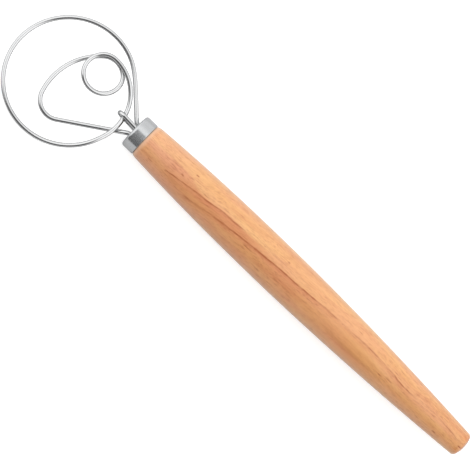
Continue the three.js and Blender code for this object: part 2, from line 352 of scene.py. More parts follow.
# %% A skin that closes on itself
def ring_skin(name, rows):
    """A closed mesh over rows whose last joins the first, as skin() but round both ways."""
    count, around = rows.shape[:2]
    i, j = np.meshgrid(np.arange(count), np.arange(around), indexing="ij")
    below, nxt = (i + 1) % count, (j + 1) % around
    quads = np.stack(
        [i * around + j, i * around + nxt, below * around + nxt, below * around + j], -1
    ).reshape(-1, 4)
    gaps = np.linalg.norm(np.roll(rows, -1, axis=0) - rows, axis=-1).mean(-1)
    along = np.concatenate([[0], np.cumsum(gaps)]) / gaps.sum()
    u0, u1 = np.broadcast_arrays(j / around, (j + 1) / around)
    low, high = (np.broadcast_to(v[:, None], u0.shape) for v in (along[:-1], along[1:]))
    corners = np.stack(
        [np.stack(pair, -1) for pair in ((u0, low), (u1, low), (u1, high), (u0, high))], 2
    )
    return new_piece(name, rows, quads.tolist(), corners)


ferrule = ring_skin("drawn_ferrule", placed(rows))

# %% [markdown]
# ## The head wire
# One straight length of stiff wire was bent round pins into the whole head. So its middle line is
# a row of plan curves, each a straight, a round bend or a soft join between two bends, and each
# also lifts or lowers the wire to the level at which it passes its neighbour. Going from the end
# of the left leg: out of the ferrule, along the left leg, round the tip, back along the arm, once
# round the small curl, through the hairpin's eye, once round the ring, and down the right leg.


# %% Plan curves
def towards(degrees):
    """Unit vector at an angle from forwards to the left."""
    angle = np.radians(degrees)
    return np.stack([np.cos(angle), np.sin(angle)], -1)


def straight_line(start, heading, length):
    """Points start + s * direction, for s from 0 to length."""
    return start + np.linspace(0, length, 60)[:, None] * towards(heading)


def round_bend(start, heading, radius, turn):
    """An arc from a point along a heading: centre + radius * direction. Positive turns left."""
    side = math.copysign(90, turn)
    centre = start + radius * towards(heading + side)
    return centre + radius * towards(np.linspace(heading - side, heading - side + turn, 160))


def oval(centre, long, short, turned, start, end):
    """centre + long cos(a) along and short sin(a) across an axis turned by `turned`."""
    a = np.radians(np.linspace(start, end, 900))[:, None]
    return centre + long * np.cos(a) * towards(turned) + short * np.sin(a) * towards(turned + 90)


def soft_join(before, after, share):
    """A cubic Bezier between two curves, its handles a share of the gap long along their ends."""
    start, end = before[-1], after[0]
    leave, arrive = before[-1] - before[-2], after[1] - after[0]
    reach = np.linalg.norm(end - start) * share
    a = start + leave / np.linalg.norm(leave) * reach
    b = end - arrive / np.linalg.norm(arrive) * reach
    t = np.linspace(0, 1, 160)[:, None]
    return (1 - t) ** 3 * start + 3 * (1 - t) ** 2 * t * a + 3 * (1 - t) * t**2 * b + t**3 * end


BEND_FROM_FACE = 0.85  # where the two straights of a leg would meet


def leg(offset, depth, radius, turn, run):
    """A leg in plan: straight in the bore, a bend at the ferrule's mouth and a straight run."""
    bend_start = BEND_FROM_FACE - radius * math.tan(math.radians(abs(turn)) / 2)
    inside = straight_line(np.array([-depth, offset]), 0, depth + bend_start)
    bend = round_bend(inside[-1], 0, radius, turn)
    return [inside, bend, straight_line(bend[-1], turn, run)]


# %% The head wire's middle line
LEFT_LEG_Y, LEFT_BEND, LEFT_TURN, LEFT_RUN = 3.5, 4, 33.2, 40.45
RIGHT_LEG_Y, RIGHT_BEND, RIGHT_TURN, RIGHT_RUN = -3.0, 5, -44.2, 14
TIP_RADIUS, TIP_TURN = 11.04, -106.8
ARM_RADIUS, ARM_TURN = 36.44, -66
CURL_CENTRE, CURL_RADIUS, CURL_START, CURL_END = np.array([34.29, -10.93]), 11.38, 177.6, 43.5
EYE_CENTRE, EYE_HEADING = np.array([9.09, -1.24]), 103
STRAND_RADIUS, STRAND_TURN = 25.95, 78.3
RING_START, RING_END = 159.8, -112
ARM_JOIN, CURL_JOIN, RING_JOIN, LEG_JOIN = 0.46, 0.45, 0.39, 0.33

inside_left, bend_left, run_left = leg(LEFT_LEG_Y, LEG_DEPTH, LEFT_BEND, LEFT_TURN, LEFT_RUN)
right_leg = leg(RIGHT_LEG_Y, LEG_DEPTH, RIGHT_BEND, RIGHT_TURN, RIGHT_RUN)
inside_right, bend_right, run_right = (curve[::-1] for curve in right_leg)
tip = round_bend(run_left[-1], LEFT_TURN, TIP_RADIUS, TIP_TURN)
arm = round_bend(tip[-1], LEFT_TURN + TIP_TURN, ARM_RADIUS, ARM_TURN)
curl = oval(CURL_CENTRE, CURL_RADIUS, CURL_RADIUS, 0, CURL_START, CURL_END)
strand = round_bend(EYE_CENTRE, EYE_HEADING - 180, STRAND_RADIUS, STRAND_TURN)[::-1]
ring_angles = (RING_START - RING_TURN, RING_END - RING_TURN)
ring = oval(RING_CENTRE, RING_LONG, RING_SHORT, RING_TURN, *ring_angles)
whole = [0, 1]
wire_pieces = [
    (inside_left, 0, whole),
    (bend_left, 0, whole),
    (run_left, -CROSS_LEVEL, [0, 0.17]),
    (tip, -CROSS_LEVEL, whole),
    (arm, -CROSS_LEVEL, whole),
    (soft_join(arm, curl, ARM_JOIN), -CROSS_LEVEL, whole),
    (curl, CROSS_LEVEL, whole),
    (soft_join(curl, strand, CURL_JOIN), CROSS_LEVEL, whole),
    (strand, 0, [0.35, 1]),
    (soft_join(strand, ring, RING_JOIN), CROSS_LEVEL, [0, 0.42]),
    (ring, 0, [0, 0.24]),
    (soft_join(ring, run_right, LEG_JOIN), 0, whole),
    (run_right, 0, whole),
    (bend_right, 0, whole),
    (inside_right, 0, whole),
]


def middle_line(pieces, step):
    """Points a step apart along plan curves that each ease from the last level to their own.

    The level at a share s of a curve is last + (own - last) * w * w * (3 - 2 * w), where w is s
    mapped from the curve's two rise shares to 0 and 1.
    """
    points, last = [], 0.0
    for plan, level, (start, end) in pieces:
        steps = np.linalg.norm(np.diff(plan, axis=0), axis=1)
        share = np.concatenate([[0], np.cumsum(steps)]) / steps.sum()
        w = np.clip((share - start) / (end - start), 0, 1)
        height = last + (level - last) * w * w * (3 - 2 * w)
        points.append(np.column_stack([plan, height])[(1 if points else 0) :])
        last = level
    line = np.concatenate(points)
    s = np.concatenate([[0], np.cumsum(np.linalg.norm(np.diff(line, axis=0), axis=1))])
    even = np.linspace(0, s[-1], int(s[-1] / step) + 1)
    return np.stack([np.interp(even, s, line[:, k]) for k in range(3)], -1)


ROW_STEP = 0.3
head_line = middle_line(wire_pieces, ROW_STEP)
print("head wire", round(len(head_line) * ROW_STEP, 1), "mm long in", len(head_line), "rows")

# %% [markdown]
# ## A round wire along a line
# A bent wire stays round, so it is a circle carried along the middle line. The circle stands
# across the line, and one of its axes is kept square to a fixed direction, the normal of the
# plane in which the wire was bent, so it never twists. Both ends are cropped square with a
# broken edge. Each point also keeps its place on the straightened wire, so that drawing lines
# can run along it.


# %% A circle carried along a line
WIRE_SIDES = 28
CUT_EDGE, CUT_LENGTH = 0.25, 0.5  # of the broken edge at each end: how deep and how long


def wire_skin(name, line, flat_normal, strips):
    """Rows: line + radius * (cos a * across + sin a * upwards) for every angle a.

    across is the unit cross product of the plane's normal and the line's direction, and upwards
    is the cross product of the direction and across.
    """
    ahead = np.gradient(line, axis=0)
    ahead /= np.linalg.norm(ahead, axis=1, keepdims=True)
    across = np.cross(flat_normal, ahead)
    across /= np.linalg.norm(across, axis=1, keepdims=True)
    upwards = np.cross(ahead, across)
    s = np.concatenate([[0], np.cumsum(np.linalg.norm(np.diff(line, axis=0), axis=1))])
    to_end = np.minimum(s, s[-1] - s)
    radius = WIRE_RADIUS - CUT_EDGE * np.clip(1 - to_end / CUT_LENGTH, 0, 1) ** 2
    a = np.linspace(0, 2 * np.pi, WIRE_SIDES, endpoint=False)[None]
    cos_a, sin_a = np.cos(a)[..., None], np.sin(a)[..., None]
    rows = line[:, None] + radius[:, None, None] * (
        cos_a * across[:, None] + sin_a * upwards[:, None]
    )
    along, a = np.broadcast_arrays(s[:, None], a)
    straight = np.stack([along, WIRE_RADIUS * np.cos(a), WIRE_RADIUS * np.sin(a)], -1)
    return skin(name, placed(rows), straight, strips)


head_wire = wire_skin("bent_head_wire", head_line, np.array([0, 0, 1.0]), 8)

# %% [markdown]
# ## The hairpin eye
# A short piece of the same wire is bent into a hairpin with its two legs in the bore, one above
# the head wire and one below, so its bend is an eye that the head wire runs through. It leans a
# little to the right and its tip is turned a little to the right, as hand assembly left it.

# %% The hairpin's middle line
EYE_BEND, EYE_AHEAD = 3.05, 0.3
EYE_LEAN, EYE_TURN = math.radians(8.5), math.radians(-3)
eye_x, eye_y = EYE_CENTRE[0] + EYE_AHEAD, EYE_CENTRE[1]
half = math.pi * EYE_BEND / 2
leg_length = eye_x + EYE_DEPTH
along = np.linspace(-leg_length - half, leg_length + half, 420)
angle = np.clip(along, -half, half) / EYE_BEND
straight_part = np.maximum(np.abs(along) - half, 0)


def turned_by(a, b, angle):
    """(a cos - b sin, a sin + b cos): a pair turned by an angle."""
    cos, sin = math.cos(angle), math.sin(angle)
    return a * cos - b * sin, a * sin + b * cos


def leaned(points):
    """Points of the upright hairpin, leaned about X and then turned about Z."""
    x, y, z = points.T
    y, z = turned_by(y, z, EYE_LEAN)
    x, y = turned_by(x, y, EYE_TURN)
    return np.stack([x, y, z], -1)


upright = np.stack(
    [EYE_BEND * np.cos(angle) - straight_part, 0 * along, EYE_BEND * np.sin(angle)], -1
)
eye_line = leaned(upright) + np.array([eye_x, eye_y, 0])
eye_normal = leaned(np.array([[0, 1.0, 0]]))[0]
eye_wire = wire_skin("hairpin_eye", eye_line, eye_normal, 2)

# %% [markdown]
# ## The glue
# The bore was filled with resin that set just behind the ferrule's face. Wet resin climbs a
# little up whatever it touches, so the face is a low surface with a small collar round each wire
# and along the ferrule's lip. Every collar is a height that dies away with the distance from
# the wire, and all the collars are added up.


# %% The glue's face
def crossing(line, x):
    """Where a line passes the plane at x: y and z at each change of side, found by a straight
    share between the two points next to it."""
    side = line[:, 0] - x
    k = np.nonzero(side[:-1] * side[1:] < 0)[0]
    w = (side[k] / (side[k] - side[k + 1]))[:, None]
    return (line[k] * (1 - w) + line[k + 1] * w)[:, 1:]


wires_through = np.concatenate([crossing(line, -GLUE_RECESS) for line in (head_line, eye_line)])
COLLAR_HEIGHT, COLLAR_REACH, LIP_HEIGHT = 0.34, 0.55, 0.2
RIPPLE = 0.02
glue_radius = BORE_RADIUS - 0.02


def glue_face(y, z):
    """Height of the glue over its lowest level: a falling exponential round each wire and at the
    lip, with a slow ripple, two sines multiplied, that was left by the brush."""
    height = RIPPLE * np.sin(1.7 * y + 0.8) * np.sin(1.3 * z - 0.4)
    for centre in wires_through:
        gap = np.maximum(np.hypot(y - centre[0], z - centre[1]) - WIRE_RADIUS, 0)
        height = height + COLLAR_HEIGHT * np.exp(-gap / COLLAR_REACH)
    lip = (glue_radius - np.hypot(y, z)) / COLLAR_REACH
    return np.minimum(height + LIP_HEIGHT * np.exp(-lip), GLUE_RECESS - 0.06)


face_radius = np.linspace(0.01, glue_radius, 90)
depth = np.full(len(face_radius), -GLUE_RECESS)
side_radius = BORE_RADIUS - FIT_GAP
sides = ends_of(
    (-2.0, side_radius),
    (-BORE_DEPTH + FIT_GAP, side_radius),
    (-BORE_DEPTH - GLUE_POINT, NEAR_AXIS),
)
rows = lathed(np.concatenate([np.stack([depth, face_radius], -1), sides]), 168)
face = rows[: len(face_radius)]
face[..., 0] += glue_face(face[..., 1], face[..., 2])
glue = skin("set_glue", placed(rows[::-1]))
print("wires through the glue at", wires_through.round(2).tolist())

# %% [markdown]
# ## Writing a finish as arithmetic
# A finish is a tree of nodes, but it reads best as arithmetic. `Value` holds one socket and turns
# `+`, `-`, `*`, `/` and `**` into Math nodes, so `0.3 + 0.7 * mask` builds the nodes that compute
# it. `Finish` holds one material. Its method `node` adds any node from its kind, its settings and
# its inputs, and the short methods under it name the few nodes that these finishes use most.


# %% Value and Finish
class Value:
    """A socket that carries a number, a vector or a colour."""

    def __init__(self, finish, socket):
        self.finish, self.socket = finish, socket

    def math(self, operation, *others):
        return self.finish.math(operation, self, *others)

    def __add__(self, other):
        return self.math("ADD", other)

    def __sub__(self, other):
        return self.math("SUBTRACT", other)

    def __mul__(self, other):
        return self.math("MULTIPLY", other)

    def __truediv__(self, other):
        return self.math("DIVIDE", other)

    def __pow__(self, other):
        return self.math("POWER", other)

    def __rsub__(self, other):
        return self.finish.math("SUBTRACT", other, self)

    def __rtruediv__(self, other):
        return self.finish.math("DIVIDE", other, self)

    def __neg__(self):
        return self * -1

    __radd__, __rmul__ = __add__, __mul__


class Pattern:
    """A tree of nodes on its way, for a material or for the world."""

    def __init__(self, tree):
        self.tree = tree

    def node(self, kind, inputs=(), output=0, **settings):
        """A node of one kind: settings first, then each input's value or link."""
        made = self.tree.nodes.new("ShaderNode" + kind)
        for name, value in settings.items():
            setattr(made, name, value)
        for key, value in dict(inputs).items():
            self.feed(made.inputs[key], value)
        return Value(self, made.outputs[output])

    def feed(self, socket, value):
        """Links a Value to a socket, or sets the socket to a number or colour."""
        if isinstance(value, Value):
            self.tree.links.new(value.socket, socket)
        else:
            socket.default_value = value

    def math(self, operation, *values):
        return self.node("Math", dict(enumerate(values)), operation=operation)

    def smooth(self, value, start, end):
        """0 before start, 1 after end, and an even ease between."""
        return self.node(
            "MapRange", {0: value, 1: start, 2: end}, interpolation_type="SMOOTHSTEP"
        )

    def bell(self, value, middle, width):
        """1 at the middle, falling away like a bell: exp(-((value - middle) / width) squared)."""
        off = (value - middle) / width
        return self.math("EXPONENT", -(off * off))

    def follow(self, value, places):
        """A smooth curve through (value, height) places, level beyond its two ends."""
        low, high = np.min(places, 0), np.max(places, 0)
        share = self.node("MapRange", {0: value, 1: float(low[0]), 2: float(high[0])})
        made = self.node("FloatCurve", {"Value": share})
        mapping = made.socket.node.mapping
        line = mapping.curves[0]
        for x, y in ((np.array(places) - low) / (high - low)).tolist():
            if 0 < x < 1:
                line.points.new(x, y)
        for end, place in ((0, places[0]), (-1, places[-1])):
            line.points[end].location[1] = (place[1] - low[1]) / (high[1] - low[1])
        mapping.update()
        return made * float(high[1] - low[1]) + float(low[1])

    def vector(self, x, y, z):
        return self.node("CombineXYZ", {0: x, 1: y, 2: z})

    def reach(self, vector, direction):
        """How far a vector reaches along a fixed direction: their dot product."""
        return self.node(
            "VectorMath", {0: vector, 1: tuple(direction)}, output="Value", operation="DOT_PRODUCT"
        )

    def noise(self, vector, detail=2.0, roughness=0.5):
        """Noise with features about one unit of the vector across, from 0 to 1."""
        return self.node(
            "TexNoise",
            {"Vector": vector, "Scale": 1.0, "Detail": detail, "Roughness": roughness},
        )

    def mix(self, factor, a, b):
        """A colour between a and b."""
        return self.node("Mix", {0: factor, 6: a, 7: b}, output=2, data_type="RGBA")

    def multiply(self, a, b):
        """Two colours multiplied."""
        return self.node(
            "Mix", {0: 1.0, 6: a, 7: b}, output=2, data_type="RGBA", blend_type="MULTIPLY"
        )


class Finish(Pattern):
    """A node material on its way. `constants` are set on the shader's own sockets."""

    def __init__(self, name, **constants):
        self.material = bpy.data.materials.new(name)
        self.material.use_nodes = True
        super().__init__(self.material.node_tree)
        self.shader = self.tree.nodes["Principled BSDF"]
        for socket, value in constants.items():
            self.shader.inputs[socket.replace("_", " ")].default_value = value

    def upright(self):
        """x, y and z of the whisk in its upright frame in mm, from Object coordinates."""
        place = self.node("TexCoord", output="Object")
        back_to_axis = Matrix.Rotation(ROLL, 3, "X") @ Vector(-AXIS / mm)
        local = self.node(
            "Mapping",
            {
                "Vector": place,
                "Location": back_to_axis,
                "Rotation": (ROLL, 0, 0),
                "Scale": (1 / mm,) * 3,
            },
        )
        return [self.node("SeparateXYZ", {0: local}, output=k) for k in range(3)]

    def bump(self, height, depth):
        """A Bump whose height of 1 is `depth` in metres."""
        return self.node("Bump", {"Height": height, "Distance": depth, "Strength": 1.0})

    def wear(self, **sockets):
        """Feeds the shader's sockets, and gives the material back."""
        for name, value in sockets.items():
            self.feed(self.shader.inputs[name.replace("_", " ")], value)
        print(self.material.name, "has", len(self.tree.nodes), "nodes")
        return self.material


def colour(red, green, blue):
    """A linear colour from the 0 to 255 numbers that a picture of it would hold."""
    share = np.array([red, green, blue]) / 255
    linear = np.where(share > 0.04045, ((share + 0.055) / 1.055) ** 2.4, share / 12.92)
    return (*linear.tolist(), 1.0)


print("roll undone in finishes:", round(ROLL, 4))

# %% [markdown]
# ## Wood
# The handle is a pale, warm hardwood with an oiled, satin surface. Its growth lines run the length
# of the handle and lean a little across it. A dark one crosses the whole face, and a shorter one
# lies to its right near the ferrule. Between the lines there are long fibre streaks, and the open
# pores make short dark dashes.
#
# All of this lies in the wood itself, not on its surface, so the pattern is a solid one that reads
# the whisk's upright coordinates. The face then shows long lines, and the butt shows the same
# layers cut across, with the pores as dots. `s` is the distance behind the ferrule's face and `t`
# the distance to the right of the handle's axis, seen from above with the head away. Each line is
# drawn as a smooth curve of t over s, with a second curve for how dark it is along its way.

# %% The wood's growth lines
wood = Finish(
    "oiled_hardwood",
    IOR=1.45,
    Coat_Weight=0.5,
    Coat_Roughness=0.22,
    Sheen_Weight=0.46,
    Sheen_Roughness=0.4,
)
x, y, z = wood.upright()
s, t = -x, -y
sway = wood.noise(wood.vector(s / 26, t / 30, z / 30), 1.0)
waver = (wood.noise(wood.vector(s / 9, t / 12, z / 12), 1.0) - 0.5) * 0.9
across = t + (z - 12) * 0.15 + waver * 0.5

MAIN_LINE = [
    (30, -9.3), (50, -7.1), (55, -6.1), (60, -5.1), (65, -4.3), (75, -2.85), (85, -1.9),
    (95, -0.85), (105, 0), (115, 0.65), (125, 1), (135, 1.6), (145, 2.4), (155, 2.65), (165, 3),
    (175, 3.15), (185, 3), (195, 2.4), (205, 1.05), (210, 0.65), (215, 0.85), (225, 1.65),
    (233, 1.75), (240, 1.3), (250, 0.15), (256, -0.1),
]
MAIN_DARKNESS = [
    (44, 0), (50, 0.6), (58, 0.45), (66, 0.55), (72, 0.8), (76, 1.1), (95, 1.05), (117, 1.05),
    (122, 0.8), (130, 0.65), (142, 0.5), (146, 0.45), (150, 0.7), (155, 0.4), (160, 0), (168, 0.1),
    (173, 0.5), (186, 0.4), (190, 0.2), (200, 0.35), (205, 0.85), (210, 0.4), (216, 0.4),
    (224, 0.2), (236, 0.25), (244, 0.5), (250, 0.5), (255, 0.1),
]
SIDE_LINE = [
    (20, -4.9), (29, -4.2), (35, -3.15), (44, -1.9), (52, -0.75), (60, 0.15), (68, 1.4), (76, 1.8),
    (84, 2.5), (97, 3.3),
]
SIDE_DARKNESS = [
    (28, 0), (31, 0.8), (36, 0.75), (44, 0.7), (48, 1.1), (54, 0.9), (60, 0.8), (66, 0.5),
    (72, 0.5), (76, 0.95), (81, 0.85), (85, 0.4), (90, 0.15), (96, 0),
]

main_line = wood.follow(s, MAIN_LINE)
above_main = across - main_line
above_side = across - wood.follow(s, SIDE_LINE)
patchy = wood.noise(wood.vector(s / 7, t / 3, z / 3), 2.0)
strength = 0.6 + 0.5 * wood.smooth(patchy, 0.35, 0.62)


def growth_line(above, width, fade):
    """A thin dark line with a fainter shade that fades over `fade` mm on its left."""
    below = wood.smooth(above, -fade, 0) * (1 - wood.smooth(above, 0, width * 1.2))
    return wood.bell(above, 0, width) * 0.85 + below * 0.22


main = growth_line(above_main, 0.45, 2.2) * wood.follow(s, MAIN_DARKNESS) * strength
side = growth_line(above_side, 0.42, 1.8) * wood.follow(s, SIDE_DARKNESS) * strength
lines = main + side
print("wood: two growth lines, the main one", len(MAIN_LINE), "places long")

# %% [markdown]
# The other growth layers are fainter and lie about 5 mm apart. Each darkens slowly across its
# width and ends sharply, which is a saw tooth of the distance from the main line.
#
# The fibres run with the main line, so their noises are stretched along `s` and are thin across
# it. `drift` is `t` with most of that line's bend taken out. There are long fibres, shorter
# streaks, short flecks and the open pores, which are the flecks of one more noise that pass a
# limit. Between the belly and the butt lies a calm patch with few of them, so `calm` thins them
# there.

# %% The fainter layers, the fibres and the pores
LAYER_WIDTH = 5.2
layer = (above_main + (sway - 0.5) * 5.0) / LAYER_WIDTH
tooth = wood.math("FRACT", layer)
layers = tooth**2.2 * (1 - wood.smooth(tooth, 0.9, 1.0)) * (0.35 + 0.65 * patchy)

drift = t - 0.85 * main_line


def grain(long, wide, detail=2.0, roughness=0.5):
    """Noise in streaks `long` mm along the grain and `wide` mm across it, about zero."""
    return wood.noise(wood.vector(s / long, drift / wide, z / wide), detail, roughness) - 0.5


broad = grain(60, 4.2)
fibre = grain(26, 1.5, 3.0, 0.6)
calm = wood.bell(s, 172, 19) * (1 - wood.smooth(across, 1.0, 2.6))
streak = grain(10, 0.75, 2.0, 0.6) * (1 - 0.6 * calm)
fleck = grain(2.4, 0.6, 3.0, 0.65) * (1 - 0.6 * calm)
pore_places = wood.smooth(grain(30, 3.5, 1.0), -0.12, 0.16)
pores = wood.smooth(grain(3.6, 0.5, 1.0), 0.1, 0.2) * (0.35 + 0.65 * pore_places) * (1 - calm)
print("wood: fibres 1.5 mm, streaks 0.75 mm and pores 0.5 mm wide")

# %% [markdown]
# A few marks are large enough to be placed one by one: the short brown dashes where a vessel of
# the wood was cut along its length, and three dots where one runs straight into the surface.

# %% The marks placed one by one
# Each has its start and end along the handle, its place across it and its darkness.
MARKS = [
    (28, 35, 3.4, 0.5), (28, 34, 2.7, 0.5), (28, 33, 0.9, 0.6), (29, 33, -0.4, 0.5),
    (28, 33, -1.6, 0.5), (36.5, 38.3, 0.7, 1.0), (43.1, 45, 6.0, 0.9), (113.2, 115, 6.4, 0.8),
    (17, 20, -6.4, 0.8), (53.5, 56.5, 1.4, 0.6), (66, 72, 3.4, 0.3), (89, 94.5, -3.6, 0.7),
    (87, 91, -5.2, 0.5), (101, 105, -8.8, 0.7), (113.5, 118, -5.8, 0.7), (119, 127.5, -5.6, 0.45),
    (123.5, 127.5, -7.3, 0.5), (156, 164, 5.5, 0.3), (168, 171.5, 6, 0.5), (198, 202, -2.3, 0.7),
    (193, 195.5, -3.8, 0.6), (88, 114, 4.2, 0.3), (210.5, 214.5, -1.7, 0.4), (216, 224, 3.1, 0.25),
    (228, 236, 0.6, 0.25), (233, 240, 4.8, 0.3), (237, 239.2, -6.2, 0.9), (253.6, 255.8, -2.4, 1.0),
]
rough_t = across + streak * 1.2


def stretch(start, end, soft):
    """1 between two places along the handle, with ends that fade over `soft` mm each way."""
    return wood.smooth(s, start - soft, start + soft) * (1 - wood.smooth(s, end - soft, end + soft))


marks = 0
for start, end, height, darkness in MARKS:
    along = stretch(start, end, min(2.0, (end - start) / 3))
    marks = along * wood.bell(rough_t, height, 0.33) * darkness + marks
marks = marks * wood.smooth(z, 0, 3) * (0.6 + 0.8 * patchy)
brown_band = wood.bell(rough_t, -6.1, 1.1) * stretch(153, 193, 7)
print("wood:", len(MARKS), "marks placed one by one")

# %% [markdown]
# The colours start from a light and a redder wood, mixed by the broad streaks and by where a point
# lies: the wood is reddest just to the left of the two growth lines and fades from there. Near the
# ferrule it is paler and pinker, and in the calm patch a little deeper. The ends of the fibres soak
# up more oil, so the butt is deeper still, with an orange patch on each side of its end.
#
# The lines, marks, fibres and pores then darken that colour, and painted shade darkens the right
# side of the handle towards the butt. Beside the ferrule, where the oil was rubbed off, there is a
# pale strip, and the seam carries a thin line of painted grey shade, where the gap between wood and
# ferrule lies in shadow.

# %% The wood's colour and sheen
RED_TOP = [
    (9, 2.6), (35, 3.6), (46, 2.0), (55, 0.3), (70, 1.9), (84, 2.2), (97, 2.9), (115, 4.4),
    (150, 5),
]
SIDE_REDNESS = [(8, 0.42), (25, 0.46), (34, 0.6), (50, 0.75), (88, 0.9), (100, 0.5), (122, 0.2)]
MAIN_REDNESS = [(60, 0), (84, 0.1), (100, 0.65), (122, 0.8), (136, 0.4), (165, 0.2), (230, 0.15)]


def red_zone(above, softness, redness, fade):
    """Redder wood to the left of a line, strongest beside it and less by `fade` farther off."""
    zone = wood.smooth(above, softness, -softness) * (1 - fade * wood.smooth(above, -2.0, -8))
    return zone * wood.follow(s, redness)


reddening = wood.math(
    "MAXIMUM",
    red_zone(across - wood.follow(s, RED_TOP), 1.0, SIDE_REDNESS, 0.45 * wood.smooth(s, 34, 60)),
    red_zone(above_main, 0.5, MAIN_REDNESS, 0.45),
) * wood.smooth(z, -4, 6)
front = wood.smooth(s, 62, 24)
butt_end = wood.smooth(s, -BUTT - 3.0, -BUTT - 0.6)
tone = 0.26 + broad * (1 - 0.6 * front) + reddening * 0.75 + layers * 0.2
hue = wood.noise(wood.vector(s / 34, drift / 7, z / 7), 1.0)
hue = wood.mix(wood.smooth(hue, 0.3, 0.7), (1, 1, 0.92, 1), (1, 0.955, 1, 1))
ground = wood.multiply(wood.mix(tone, colour(240, 184, 125), colour(221, 148, 101)), hue)
for place, tint in (
    (front, (1, 1.02, 1.13, 1)),
    (calm * 0.8, (1, 0.94, 0.88, 1)),
    (butt_end * 0.8, (0.98, 0.82, 0.66, 1)),
):
    ground = wood.multiply(ground, wood.mix(place, (1, 1, 1, 1), tint))
orange = wood.bell(s, 253.6, 1.6) * (wood.bell(t, 4.4, 1.1) + wood.bell(t, -4, 1.0))
ground = wood.mix(orange * 0.6, ground, colour(228, 146, 78))

dark = lines * 1.05 + marks * 0.8 + brown_band * 0.3 + layers * 0.1 + pores * 0.4
dark = dark + fibre * 0.35 + streak * 0.9 + fleck * 1.1 + butt_end * 0.12
# Painted shade: the right side of the handle is darkened towards the butt.
dark = dark + wood.smooth(s, 200, 225) * wood.smooth(across, 0.5, 3.0) * 0.12
wood_colour = wood.mix(dark + 0.06, ground, colour(178, 94, 50))

rubbed = 1 - wood.smooth(s, 9.2, 11.6)
# Painted shade: a thin grey line along the seam, where the gap to the ferrule lies in shadow.
seam_shade = wood.bell(s, 8.3, 0.45)
wood_colour = wood.mix(rubbed * 0.6, wood_colour, colour(234, 190, 156))
wood_colour = wood.mix(seam_shade * 0.7, wood_colour, colour(140, 130, 122))

wood_height = fibre * 0.5 + streak * 0.6 - pores * 1.0 - marks * 1.2
wood_rough = 0.42 + fibre * 0.16 + pores * 0.16 + lines * 0.06 - butt_end * 0.05
oiled_wood = wood.wear(
    Base_Color=wood_colour,
    Roughness=wood_rough,
    Normal=wood.bump(wood_height, 0.00003),
)

# %% [markdown]
# ## Steel
# The ferrule was turned bright and then dulled with a fine abrasive that ran round it, so its
# lines go round the axis on the side and on the face alike. Distance along the profile is the
# same as x minus the radius, up to a constant on each straight, and rises all the way round the
# corner, so one noise that is very thin along that value makes every line. The abrasive also left
# a dull haze, which comes from a Metallic a little under 1.

# %% The ferrule's finish
cap = Finish("satin_steel", Metallic=0.8, Specular_Tint=(0.9, 0.91, 0.93, 1))
x, y, z = cap.upright()
radius = cap.math("SQRT", y * y + z * z)
profile_place = x - radius
turned_lines = cap.noise(cap.vector(profile_place / 0.07, y / 9, z / 9), 3.0, 0.7)
wide_lines = cap.noise(cap.vector(profile_place / 0.5, y / 14, z / 14), 2.0)
cloud = cap.noise(cap.vector(x / 4, y / 4, z / 4), 2.0)
scuffs = cap.smooth(cap.noise(cap.vector(x / 0.5, y / 2.2, z / 2.2), 3.0, 0.65), 0.64, 0.74)
cap_rough = 0.17 + (turned_lines - 0.5) * 0.14 + (cloud - 0.5) * 0.1 + scuffs * 0.12
cap_colour = cap.mix(
    (turned_lines - 0.5) * 0.7 + (wide_lines - 0.5) * 0.5 + 0.5,
    (0.5, 0.51, 0.52, 1),
    (0.635, 0.645, 0.65, 1),
)
satin_steel = cap.wear(
    Base_Color=cap_colour,
    Roughness=cap_rough,
    Normal=cap.bump(turned_lines + wide_lines * 0.6, 0.0000035),
)

# %% [markdown]
# The wire was drawn through a die and then polished. The die leaves very fine lines along the
# wire, which only a pattern on the straightened wire can follow, so this finish reads the
# attribute that the wire's skin carries. Bending and handling left a few duller patches.

# %% The wire's finish
drawn = Finish("polished_wire", Metallic=1.0, Specular_Tint=(0.3, 0.31, 0.33, 1))
place = drawn.node("Attribute", output="Vector", attribute_name="straight")
along, side, top = (drawn.node("SeparateXYZ", {0: place}, output=k) for k in range(3))
die_lines = drawn.noise(drawn.vector(along / 18, side / 0.09, top / 0.09), 3.0, 0.6)
ripple = drawn.noise(drawn.vector(along / 5, side / 1.2, top / 1.2), 2.0)
dull = drawn.smooth(drawn.noise(drawn.vector(along / 7, side / 1.6, top / 1.6), 3.0), 0.52, 0.7)
nicks = drawn.smooth(drawn.noise(drawn.vector(along / 0.7, side / 0.3, top / 0.3), 2.0), 0.7, 0.78)
wire_rough = 0.06 + (die_lines - 0.5) * 0.08 + dull * 0.09 + nicks * 0.1
wire_colour = drawn.mix(
    (die_lines - 0.5) * 0.6 + 0.55 - dull * 0.25 - nicks * 0.3,
    (0.58, 0.585, 0.59, 1),
    (0.72, 0.722, 0.725, 1),
)
polished_wire = drawn.wear(
    Base_Color=wire_colour,
    Roughness=wire_rough,
    Normal=drawn.bump(die_lines + ripple * 0.6 - nicks * 0.6, 0.000002),
)

# %% [markdown]
# ## Resin
# The glue is an amber two-part resin. It is a little cloudy, with small bubbles caught under the
# surface, and glossy where it set against the air.

# %% The glue's finish
resin = Finish("amber_resin", IOR=1.52, Coat_Weight=0.3, Coat_Roughness=0.12)
x, y, z = resin.upright()
cloud = resin.noise(resin.vector(x / 1.6, y / 1.6, z / 1.6), 3.0)
bubble = resin.node(
    "TexVoronoi", {"Vector": resin.vector(x, y, z), "Scale": 1.4, "Randomness": 1.0}
)
bubbles = resin.smooth(bubble, 0.16, 0.07)
resin_colour = resin.mix(cloud * 1.4 - 0.2, colour(124, 104, 76), colour(94, 76, 52))
resin_colour = resin.mix(bubbles * 0.6, resin_colour, colour(168, 152, 120))
amber_resin = resin.wear(
    Base_Color=resin_colour,
    Roughness=0.22 + cloud * 0.16 + bubbles * 0.1,
    Normal=resin.bump(cloud * 0.5 - bubbles, 0.00004),
)
